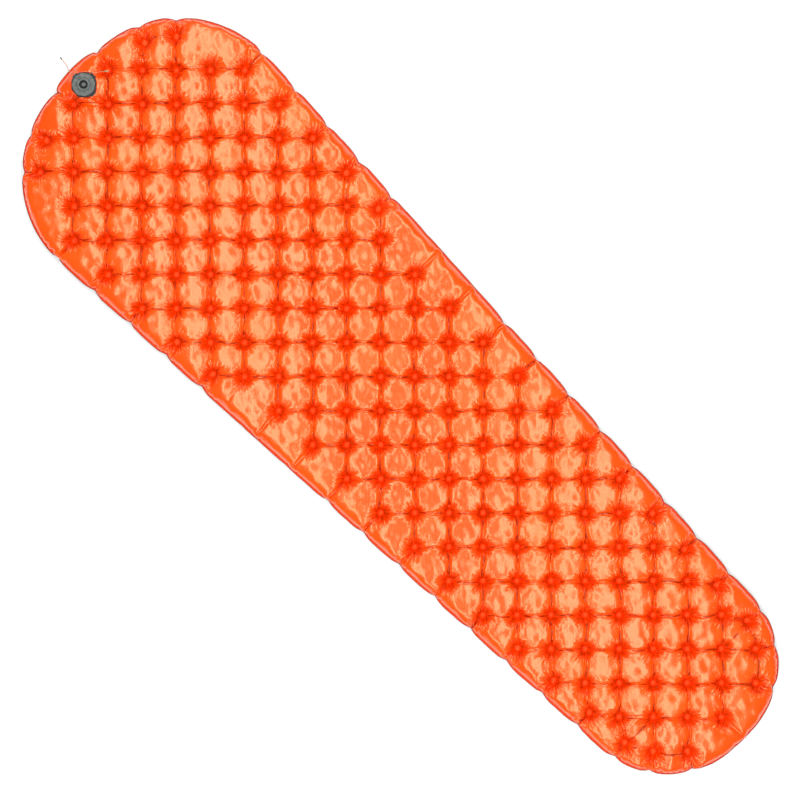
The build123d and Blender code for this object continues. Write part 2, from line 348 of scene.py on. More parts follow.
@dataclass
class Inflation:
    """Blows up one sheet: cloth springs, pressure, pinned welds and seam.

    The net is square and in line with the weld lattice, so that folds run
    along its edges. Sizes are in millimetres.
    """

    outline: PadOutline
    lattice: WeldLattice
    fullness: float = 1.13
    flange: float = 4.0
    mid: float = 25.0
    lift: float = 24.4
    valve_disc: float = 25.3
    valve_hole: float = 18.3

    def net(self, cells: int) -> None:
        """Lay out the net.

        Args:
            cells: Cells from one weld to the next.
        """
        r2 = math.sqrt(0.5)
        self.cells = cells
        self.size = self.lattice.pitch / cells
        ex = np.array([r2, -r2])
        ey = np.array([-r2, -r2])
        origin = np.array([self.lattice.step, self.lattice.top])
        corner = np.array([[x, y] for x in (-300, 300) for y in (-930, 930)]) - origin
        rows = corner @ ey / self.size
        cols = corner @ ex / self.size
        self.row, self.col = np.meshgrid(np.arange(int(rows.min()) - 2, int(rows.max()) + 3),
                                         np.arange(int(cols.min()) - 2, int(cols.max()) + 3), indexing="ij")
        plan = origin + self.col[..., None] * self.size * ex + self.row[..., None] * self.size * ey
        depth, away = self.outline.depth(plan)
        depth = depth - self.flange
        inside = depth > 0
        wide = np.zeros_like(inside)
        for a in (-1, 0, 1):
            for b in (-1, 0, 1):
                wide |= np.roll(np.roll(inside, a, 0), b, 1)
        self.used = wide
        self.index = np.full(wide.shape, -1)
        self.index[wide] = np.arange(wide.sum())
        self.rim = (wide & ~inside)[wide]
        self.depth = depth[wide]
        self.away = away[wide]
        self.plan = plan[wide]
        self.plan[self.rim] += self.away[self.rim] * self.depth[self.rim][:, None]
        self.weld_gap, self.weld = self.lattice.nearest(plan[wide])
        valve_x, valve_y = self.lattice.valve
        self.valve_gap = np.hypot(self.plan[:, 0] - valve_x, self.plan[:, 1] - valve_y)

    def cells_whole(self) -> np.ndarray:
        """Cells of the net that have all four points.

        Returns:
            Corner numbers, four to a row.
        """
        corners = (self.index[:-1, :-1], self.index[:-1, 1:], self.index[1:, 1:], self.index[1:, :-1])
        cells = np.stack([corner.ravel() for corner in corners], 1)
        return cells[(cells >= 0).all(1)]

    def edge_roll(self, reach: float) -> np.ndarray:
        """Height of a round edge at each point.

        Args:
            reach: How far in the edge is round.

        Returns:
            The heights over the middle plane.
        """
        return self.lift * np.sqrt(np.clip(1 - (1 - np.clip(self.depth / reach, 0, 1)) ** 2, 0, 1))

    def guess(self) -> np.ndarray:
        """First shape: pillows between the welds, a flat under the valve.

        Returns:
            A point in space for each point of the net.
        """
        cell = np.clip(self.weld_gap / (self.lattice.pitch * 0.7), 0, 1)
        rise = self.lift * np.sin(np.pi / 2 * cell) ** 0.8
        rise = np.minimum(rise, self.edge_roll(22))
        near = self.valve_gap < 45
        rise = np.where(near, np.maximum(rise, self.lift * (1 - ramp(25, 46, self.valve_gap))), rise)
        rise = np.where(near, np.minimum(rise, self.edge_roll(17)), rise)
        self.on_valve = (self.valve_gap < self.valve_disc) & ~self.rim
        self.on_weld = (self.weld_gap < 5.0) & ~self.rim
        rise[self.on_valve] = self.lift
        rise[self.on_weld | self.rim] = 0.0
        self.pinned = self.rim | self.on_weld | self.on_valve
        return np.concatenate([self.plan, (self.mid + rise)[:, None]], 1)

    def springs(self, shape: np.ndarray) -> list[tuple]:
        """Springs in sets that share no point, so that each set moves at once.

        Args:
            shape: The first shape.

        Returns:
            For each set: both ends, lengths, both shares, and the softness
            in stretch and in compression.
        """
        out = []
        valve = ramp(50, 34, self.valve_gap)
        kinds = ((0, 1, 1.0, 0.5), (1, 0, 1.0, 0.5), (1, 1, 0.5, 0.25), (1, -1, 0.5, 0.25),
                 (0, 2, 0.0, 0.2), (2, 0, 0.0, 0.2))
        for di, dj, stretch, squeeze in kinds:
            rows = slice(0, self.index.shape[0] - di)
            cols = slice(max(0, -dj), self.index.shape[1] - max(0, dj))
            first = self.index[rows, cols]
            second = self.index[di:, max(0, dj):self.index.shape[1] + min(0, dj)]
            both = (first >= 0) & (second >= 0)
            turn = (self.row if di else self.col)[rows, cols][both] // (di or dj)
            a, b = first[both], second[both]
            size = np.linalg.norm(self.plan[a] - self.plan[b], axis=1) * self.fullness
            pull = np.maximum(valve[a], valve[b])
            size = np.maximum(size, np.linalg.norm(shape[a] - shape[b], axis=1) * pull)
            for part in (0, 1):
                use = (turn % 2 == part) & ~(self.pinned[a] & self.pinned[b])
                wa = (~self.pinned[a[use]]).astype(np.float32)
                wb = (~self.pinned[b[use]]).astype(np.float32)
                out.append((a[use], b[use], size[use].astype(np.float32), wa / (wa + wb), wb / (wa + wb),
                            stretch, squeeze))
        return out

    def finer(self, old: tuple, shape: np.ndarray) -> np.ndarray:
        """Spread a coarse result over the present net.

        Args:
            old: Cells, index, rows, columns and points of the coarse net.
            shape: The first shape of the present net.

        Returns:
            The points to start from.
        """
        cells, index, row, col, points = old
        gi = self.row[self.used] * cells / self.cells - row[0, 0]
        gj = self.col[self.used] * cells / self.cells - col[0, 0]
        i = np.floor(gi).astype(int)
        j = np.floor(gj).astype(int)
        total = np.zeros((len(shape), 3))
        weight = np.zeros(len(shape))
        for di, dj in ((0, 0), (0, 1), (1, 0), (1, 1)):
            near = index[i + di, j + dj]
            w = (gi - i if di else 1 - gi + i) * (gj - j if dj else 1 - gj + j) * (near >= 0)
            total += points[near] * w[:, None]
            weight += w
        out = shape.copy()
        good = weight > 1e-6
        out[good] = total[good] / weight[good][:, None]
        return out

    def neighbour(self, di: int, dj: int) -> np.ndarray:
        """Number of the point a step away, or the point itself.

        Args:
            di: Rows to step.
            dj: Columns to step.

        Returns:
            The number for each point of the net.
        """
        near = np.roll(np.roll(self.index, -di, 0), -dj, 1)[self.used]
        return np.where(near >= 0, near, np.arange(len(near)))

    def blow(self, points: np.ndarray, springs: list[tuple], steps: int, pressure: float) -> np.ndarray:
        """Run the pressure and the springs.

        Args:
            points: Where the points start.
            springs: The spring sets.
            steps: How many steps to take.
            pressure: Push along the normal in each step.

        Returns:
            The settled points.
        """
        now = points.astype(np.float32)
        before = now.copy()
        free = ~self.pinned
        left, right = self.neighbour(0, -1), self.neighbour(0, 1)
        up, down = self.neighbour(-1, 0), self.neighbour(1, 0)
        scale = pressure * self.size / 2.73 / (4 * self.size ** 2)
        for _ in range(steps):
            push = np.cross(now[right] - now[left], now[down] - now[up]) * scale
            push *= -1.0 if push[free, 2].mean() < 0 else 1.0
            move = (now - before) * 0.92 + push
            before = now.copy()
            now[free] += move[free]
            for _ in range(3):
                for a, b, size, wa, wb, stretch, squeeze in springs:
                    gap = now[b] - now[a]
                    length = np.sqrt((gap * gap).sum(1)) + 1e-9
                    error = (length - size) / length
                    gap *= np.where(error < 0, error * squeeze, error * stretch)[:, None]
                    now[a] += gap * wa[:, None]
                    now[b] -= gap * wb[:, None]
            np.maximum(now[:, 2], self.mid, out=now[:, 2])
        return now.astype(float)

    def run(self, plan: tuple[tuple[int, int], ...]) -> np.ndarray:
        """Inflate the sheet on nets of growing fineness.

        Args:
            plan: Cells to a pitch and steps, for each net in turn.

        Returns:
            The points of the last net.
        """
        rng = np.random.default_rng(11)
        old = None
        for cells, steps in plan:
            self.net(cells)
            shape = self.guess()
            pins = shape.copy()
            centre = self.lattice.points[self.weld]
            spot = self.on_weld
            pins[spot, :2] = centre[spot] + 0.98 * self.fullness * (self.plan[spot] - centre[spot])
            start = self.finer(old, shape) if old else pins.copy()
            start[~self.pinned] += rng.normal(0, 0.15, (int((~self.pinned).sum()), 3)) * (0.3, 0.3, 1.0)
            start[self.pinned] = pins[self.pinned]
            points = self.blow(start, self.springs(shape), steps, 0.07)
            old = (cells, self.index, self.row, self.col, points)
            LOG.info("inflated net of %d points, crown %.1f mm", len(points), points[:, 2].max())
        return points


def make_mesh(name: str, points: np.ndarray, loops: np.ndarray, sizes: np.ndarray) -> bpy.types.Object:
    """Make a smooth-shaded mesh object from arrays.

    Args:
        name: Object name.
        points: Corner points in metres.
        loops: Corner numbers of all faces, one after another.
        sizes: Corners of each face.

    Returns:
        The linked object.
    """
    mesh = bpy.data.meshes.new(name)
    mesh.vertices.add(len(points))
    mesh.vertices.foreach_set("co", np.ascontiguousarray(points, np.float32).ravel())
    mesh.loops.add(len(loops))
    mesh.loops.foreach_set("vertex_index", np.ascontiguousarray(loops, np.int32))
    mesh.polygons.add(len(sizes))
    mesh.polygons.foreach_set("loop_start", np.concatenate([[0], np.cumsum(sizes)[:-1]]).astype(np.int32))
    mesh.update(calc_edges=True)
    mesh.validate()
    mesh.polygons.foreach_set("use_smooth", np.ones(len(mesh.polygons), bool))
    item = bpy.data.objects.new(name, mesh)
    bpy.context.scene.collection.objects.link(item)
    return item


def set_field(item: bpy.types.Object, name: str, kind: str, values: np.ndarray) -> None:
    """Store one value or vector for each point of a mesh.

    Args:
        item: The mesh object.
        name: Name of the field.
        kind: FLOAT or FLOAT_VECTOR.
        values: One row for each point.
    """
    layer = item.data.attributes.new(name, kind, "POINT")
    layer.data.foreach_set("vector" if kind == "FLOAT_VECTOR" else "value",
                           np.ascontiguousarray(values, np.float32).ravel())


def ring_faces(rings: int, count: int, start: int = 0, flip: bool = False) -> np.ndarray:
    """Quads between closed rings of points.

    Args:
        rings: How many rings.
        count: Points in each ring.
        start: Number of the first point.
        flip: Turn the faces over.

    Returns:
        Corner numbers, four to a row.
    """
    k = np.arange(count)
    n = (k + 1) % count
    out = [np.stack([r * count + k, r * count + n, (r + 1) * count + n, (r + 1) * count + k], 1)
           for r in range(rings - 1)]
    quads = np.concatenate(out) + start
    return quads[:, ::-1] if flip else quads


class Wiring:
    """Adds and joins shader nodes in one node tree."""

    def __init__(self, tree: bpy.types.NodeTree) -> None:
        """Start on a node tree.

        Args:
            tree: The tree that the nodes go into.
        """
        self.tree = tree

    def feed(self, socket: bpy.types.NodeSocket, value: object) -> None:
        """Set an input to a value, or join it to an output.

        Args:
            socket: The input.
            value: A value or an output; None leaves the input as it is.
        """
        if isinstance(value, bpy.types.NodeSocket):
            self.tree.links.new(value, socket)
        elif value is not None:
            socket.default_value = value

    def add(self, kind: str, inputs: dict | None = None, **settings: object) -> bpy.types.Node:
        """Add a node.

        Args:
            kind: Node type.
            inputs: Values or outputs for its inputs, by name or number.
            settings: Its other properties.

        Returns:
            The node.
        """
        node = self.tree.nodes.new(kind)
        for key, value in settings.items():
            setattr(node, key, value)
        for key, value in (inputs or {}).items():
            self.feed(node.inputs[key], value)
        return node

    def math(self, operation: str, a: object, b: object = None) -> bpy.types.NodeSocket:
        """One sum of one or two numbers."""
        return self.add("ShaderNodeMath", {0: a, 1: b}, operation=operation).outputs[0]

    def times(self, a: object, b: object) -> bpy.types.NodeSocket:
        """Product of two numbers."""
        return self.math("MULTIPLY", a, b)

    def plus(self, a: object, b: object) -> bpy.types.NodeSocket:
        """Sum of two numbers."""
        return self.math("ADD", a, b)

    def step(self, value: object, low: float, high: float,
             to_low: float = 0.0, to_high: float = 1.0) -> bpy.types.NodeSocket:
        """Smooth step of a value from one range to another.

        Args:
            value: The value or output to map.
            low: Level that gives to_low.
            high: Level that gives to_high.
            to_low: First end of the result.
            to_high: Second end of the result.

        Returns:
            The mapped output.
        """
        node = self.add("ShaderNodeMapRange", {0: value, 1: low, 2: high, 3: to_low, 4: to_high},
                        interpolation_type="SMOOTHSTEP")
        return node.outputs[0]

    def blend(self, amount: object, a: object, b: object) -> bpy.types.NodeSocket:
        """Mix two colours.

        Args:
            amount: Share of the second colour.
            a: First colour.
            b: Second colour.

        Returns:
            The mixed colour.
        """
        node = self.add("ShaderNodeMix", {0: amount}, data_type="RGBA")
        self.feed(node.inputs[6], a)
        self.feed(node.inputs[7], b)
        return node.outputs[2]

    def noise(self, vector: object, scale: float, detail: float = 2.0) -> bpy.types.NodeSocket:
        """Noise from 0 to 1 at a vector."""
        inputs = {"Vector": vector, "Scale": scale, "Detail": detail}
        return self.add("ShaderNodeTexNoise", inputs).outputs[0]

    def field(self, name: str, vector: bool) -> bpy.types.NodeSocket:
        """A stored value of the mesh."""
        node = self.add("ShaderNodeAttribute", attribute_name=name)
        return node.outputs["Vector" if vector else "Fac"]

    def place(self) -> bpy.types.NodeSocket:
        """Object position in metres."""
        return self.add("ShaderNodeTexCoord").outputs["Object"]


@dataclass
class EffectGroups:
    """Shader node groups that several finishes share."""

    made: dict[str, bpy.types.NodeTree] = field(default_factory=dict)

    def _start(self, name: str, inputs: dict[str, float], outputs: tuple[str, ...]) -> tuple:
        """Open a new group with named sockets.

        Args:
            name: Group name.
            inputs: Input names and their usual values.
            outputs: Output names.

        Returns:
            The wiring, the input node and the output node.
        """
        tree = bpy.data.node_groups.new(name, "ShaderNodeTree")
        for key, value in inputs.items():
            socket = tree.interface.new_socket(key, in_out="INPUT", socket_type="NodeSocketFloat")
            socket.default_value = value
        for key in outputs:
            tree.interface.new_socket(key, in_out="OUTPUT", socket_type="NodeSocketFloat")
        self.made[name] = tree
        return Wiring(tree), tree.nodes.new("NodeGroupInput"), tree.nodes.new("NodeGroupOutput")

    def weave(self) -> bpy.types.NodeTree:
        """Plain weave with thicker rip-stop threads.

        Returns:
            The group. Thread is the weave's turn in radians a metre, and Grid
            is the rip-stop squares in a metre.
        """
        if "Woven cloth" in self.made:
            return self.made["Woven cloth"]
        w, start, end = self._start("Woven cloth", {"Thread": 2400.0, "Grid": 180.0}, ("Height", "Shade"))
        turned = w.add("ShaderNodeVectorRotate", {"Vector": w.place(), "Angle": math.radians(45)},
                       rotation_type="Z_AXIS").outputs[0]
        axes = w.add("ShaderNodeSeparateXYZ", {0: turned}).outputs
        across = w.math("SINE", w.times(axes[0], start.outputs["Thread"]))
        down = w.math("SINE", w.times(axes[1], start.outputs["Thread"]))
        lines = []
        for axis in (axes[0], axes[1]):
            cell = w.math("FRACT", w.times(axis, start.outputs["Grid"]))
            lines.append(w.step(w.math("ABSOLUTE", w.math("SUBTRACT", cell, 0.5)), 0.42, 0.49, 0.0, 1.0))
        grid = w.math("MAXIMUM", lines[0], lines[1])
        height = w.plus(w.times(w.times(across, down), 0.3), grid)
        w.feed(end.inputs["Height"], height)
        w.feed(end.inputs["Shade"], w.plus(w.times(grid, 0.6), w.noise(turned, 900.0)))
        return w.tree

    def grain(self) -> bpy.types.NodeTree:
        """Fine texture of moulded plastic and rubber, with dull patches.

        Returns:
            The group. Size scales the texture.
        """
        if "Moulded grain" in self.made:
            return self.made["Moulded grain"]
        w, start, end = self._start("Moulded grain", {"Size": 1.0}, ("Height", "Patches"))
        place = w.add("ShaderNodeVectorMath", {0: w.place(), "Scale": start.outputs["Size"]},
                      operation="SCALE").outputs[0]
        pits = w.add("ShaderNodeTexVoronoi", {"Vector": place, "Scale": 2200.0}).outputs["Distance"]
        fine = w.noise(place, 5200.0, 3.0)
        w.feed(end.inputs["Height"], w.plus(pits, fine))
        w.feed(end.inputs["Patches"], w.noise(place, 160.0, 4.0))
        return w.tree

    def puckers(self) -> bpy.types.NodeTree:
        """Gathers that fan out from each weld, and the fold lines between.

        Returns:
            The group. Reach is how far from a weld the gathers run, in
            millimetres, and Count is how close together they are. Weld shade
            marks painted shade on the steep cloth round each weld, Fold marks
            the creases, which get a real dip and painted shade, and Spot marks
            the pressed weld disc, which also gets a painted highlight.
        """
        if "Weld puckers" in self.made:
            return self.made["Weld puckers"]
        w, start, end = self._start("Weld puckers", {"Reach": 33.0, "Count": 3.6},
                                    ("Height", "Gather", "Fold", "Spot", "Weld shade"))
        rel = w.field("weld_rel", True)
        axes = w.add("ShaderNodeSeparateXYZ", {0: rel}).outputs
        flat = w.add("ShaderNodeCombineXYZ", {0: axes[0], 1: axes[1]}).outputs[0]
        away = w.field("weld_mm", False)
        way = w.add("ShaderNodeVectorMath", {0: flat}, operation="NORMALIZE").outputs[0]
        way_axes = w.add("ShaderNodeSeparateXYZ", {0: way}).outputs
        depth = w.plus(w.times(axes[2], 9.7), w.times(away, 0.018))
        ring = [w.times(way_axes[axis], 1.7) for axis in (0, 1)]
        around = w.add("ShaderNodeCombineXYZ", {0: ring[0], 1: ring[1], 2: depth}).outputs[0]
        lobes = w.add("ShaderNodeTexNoise", {"Vector": around, "Scale": start.outputs["Count"],
                                             "Detail": 1.0}).outputs[0]
        inner = w.step(away, 4.8, 8.5, 0.0, 1.0)
        outer = w.step(away, 13.0, start.outputs["Reach"], 1.0, 0.0)
        window = w.times(inner, outer)
        gather = w.times(w.math("SUBTRACT", lobes, 0.5), window)
        wobble = w.times(w.math("SUBTRACT", w.noise(w.place(), 45.0), 0.5), 7.0)
        off = w.math("ABSOLUTE", w.plus(w.field("fold_mm", False), wobble))
        # Fold marks the creases between welds: it gives them a real dip and, in the cloth colour, painted
        # shade
        fold = w.times(w.step(off, 0.2, 1.3, 1.0, 0.0), w.step(away, 9.0, 19.0, 0.12, 1.0))
        height = w.math("SUBTRACT", w.times(gather, 7.0), w.times(fold, 1.3))
        w.feed(end.inputs["Height"], height)
        w.feed(end.inputs["Gather"], gather)
        w.feed(end.inputs["Fold"], fold)
        w.feed(end.inputs["Spot"], w.step(away, 3.8, 5.2, 1.0, 0.0))
        # Weld shade: painted shade on the steep cloth round each weld, fading out from 15 to 26 mm
        w.feed(end.inputs["Weld shade"], w.step(away, 15.0, 26.0, 1.0, 0.0))
        return w.tree


GROUPS = EffectGroups()


def new_material(name: str) -> tuple[bpy.types.Material, Wiring, bpy.types.Node]:
    """Make a node material with nothing but a shader.

    Args:
        name: Material name.

    Returns:
        The material, its wiring and its shader.
    """
    material = bpy.data.materials.new(name)
    material.use_nodes = True
    tree = material.node_tree
    tree.nodes.clear()
    wiring = Wiring(tree)
    shader = wiring.add("ShaderNodeBsdfPrincipled")
    out = wiring.add("ShaderNodeOutputMaterial")
    tree.links.new(shader.outputs[0], out.inputs[0])
    return material, wiring, shader


@dataclass(frozen=True)
class CoatedCloth:
    """Woven sheet cloth with a coated face. Its base colour holds painted shade and painted highlight."""

    name: str
    colour: Triple
    shadow: Triple
    # pale tone: random light patches of the cloth, also used as painted highlight on gather ridges and weld
    # spots
    pale: Triple
    # seam tone: the seam flange's own deeper colour, also used as painted shade round each weld
    seam: Triple
    glint: Triple
    roughness: float = 0.19
    gloss: float = 1.0

    def make(self) -> bpy.types.Material:
        """Build the finish.

        Returns:
            The material.
        """
        material, w, shader = new_material(self.name)
        puckers = w.add("ShaderNodeGroup", node_tree=GROUPS.puckers())
        weave = w.add("ShaderNodeGroup", node_tree=GROUPS.weave())
        cloud = w.noise(w.place(), 9.0, 3.0)
        rim = w.field("rim_mm", False)
        gather = puckers.outputs["Gather"]
        colour = (*self.colour, 1)
        for mask, share, tone in ((w.step(cloud, 0.35, 0.75), 0.5, self.pale),
                                  # painted shade round each weld, in the seam tone
                                  (puckers.outputs["Weld shade"], 0.8, self.seam),
                                  # painted highlight on the gather ridges, then painted shade in their
                                  # troughs
                                  (w.step(gather, 0.02, 0.2), 0.7, self.pale),
                                  (w.step(gather, -0.04, -0.16), 0.18, self.shadow),
                                  # painted highlight on each flat weld spot
                                  (puckers.outputs["Spot"], 0.25, self.pale),
                                  # painted shade along the folds
                                  (puckers.outputs["Fold"], 0.85, self.shadow),
                                  (w.step(rim, 4.3, 3.6), 0.9, self.seam),
                                  # painted shade along the outer edge of the pad
                                  (w.step(rim, 2.8, 1.6), 0.9, self.shadow),
                                  (weave.outputs["Shade"], 0.05, self.shadow)):
            colour = w.blend(w.times(mask, share), colour, (*tone, 1))
        w.feed(shader.inputs["Base Color"], colour)
        pressed = w.math("MAXIMUM", w.step(rim, 5.0, 4.0), puckers.outputs["Spot"])
        rough = w.plus(w.times(cloud, 0.12), self.roughness - 0.06)
        w.feed(shader.inputs["Roughness"], w.plus(rough, w.times(pressed, 0.55)))
        shader.inputs["Specular IOR Level"].default_value = self.gloss
        shader.inputs["Specular Tint"].default_value = (*self.glint, 1.0)
        off_line = w.math("ABSOLUTE", w.math("SUBTRACT", rim, 2.1))
        emboss = w.times(w.step(off_line, 1.2, 1.7), w.step(rim, 5.0, 4.3))
        height = puckers.outputs["Height"]
        for relief, size in ((w.noise(w.place(), 70.0, 3.0), 0.55), (weave.outputs["Height"], 0.02),
                             (emboss, 0.25)):
            height = w.plus(height, w.times(relief, size))
        bump = w.add("ShaderNodeBump", {"Height": height, "Distance": MM, "Strength": 1.0})
        w.feed(shader.inputs["Normal"], bump.outputs[0])
        return material


@dataclass(frozen=True)
class Moulding:
    """Moulded plastic or rubber.

    Each row of shaded is the inner and outer radius, in millimetres round
    axis, and the depth of a ring of painted shade.
    """

    name: str
    colour: Triple
    worn: Triple
    roughness: float
    grain: float = 0.03
    size: float = 1.0
    gloss: float = 0.5
    shaded: tuple[Triple, ...] = ()
    axis: Pair = (-7.0, 868.0)

    def make(self) -> bpy.types.Material:
        """Build the finish.

        Returns:
            The material.
        """
        material, w, shader = new_material(self.name)
        grain = w.add("ShaderNodeGroup", {"Size": self.size}, node_tree=GROUPS.grain())
        patches = grain.outputs["Patches"]
        colour = w.blend(w.step(patches, 0.42, 0.68, 0.0, 0.6), (*self.colour, 1), (*self.worn, 1))
        shader.inputs["Specular IOR Level"].default_value = self.gloss
        if self.shaded:
            centre = (self.axis[0] * MM, self.axis[1] * MM, 0.0)
            off = w.add("ShaderNodeVectorMath", {0: w.place(), 1: centre}, operation="SUBTRACT").outputs[0]
            parts = w.add("ShaderNodeSeparateXYZ", {0: off}).outputs
            flat = w.add("ShaderNodeCombineXYZ", {0: parts[0], 1: parts[1]}).outputs[0]
            away = w.add("ShaderNodeVectorMath", {0: flat}, operation="LENGTH").outputs[1]
            # each band is painted shade, near black, in a recess, groove or edge round the axis
            for inner, outer, depth in self.shaded:
                band = w.times(w.step(away, (inner - 0.6) * MM, (inner + 0.6) * MM, 0.0, depth),
                               w.step(away, (outer - 0.5) * MM, (outer + 0.5) * MM, 1.0, 0.0))
                colour = w.blend(band, colour, (0.006, 0.007, 0.007, 1))
        w.feed(shader.inputs["Base Color"], colour)
        w.feed(shader.inputs["Roughness"], w.plus(w.times(patches, 0.2), self.roughness - 0.1))
        bump = w.add("ShaderNodeBump", {"Height": grain.outputs["Height"], "Distance": MM * self.grain,
                                        "Strength": 0.7})
        w.feed(shader.inputs["Normal"], bump.outputs[0])
        return material


@dataclass(frozen=True)
class Thread:
    """Twisted string or lofted fibre."""

    name: str
    colour: Triple
    dark: Triple
    twist: float = 1500.0
    depth: float = 0.12

    def make(self) -> bpy.types.Material:
        """Build the finish.

        Returns:
            The material.
        """
        material, w, shader = new_material(self.name)
        axes = w.add("ShaderNodeSeparateXYZ", {0: w.place()}).outputs
        slant = w.plus(w.plus(axes[0], axes[1]), w.times(axes[2], 0.7))
        strand = w.math("SINE", w.times(slant, self.twist * 2))
        fuzz = w.noise(w.place(), 2600.0, 3.0)
        # the dark tone is painted shade along the twist grooves between strands, mixed with random fibre
        # tone
        tone = w.plus(w.times(strand, 0.25), fuzz)
        w.feed(shader.inputs["Base Color"], w.blend(w.step(tone, 0.3, 0.8, 0.0, 1.0), (*self.dark, 1),
                                                    (*self.colour, 1)))
        shader.inputs["Roughness"].default_value = 0.8
        shader.inputs["Sheen Weight"].default_value = 0.3
        bump = w.add("ShaderNodeBump", {"Height": tone, "Distance": MM * self.depth, "Strength": 0.8})
        w.feed(shader.inputs["Normal"], bump.outputs[0])
        return material


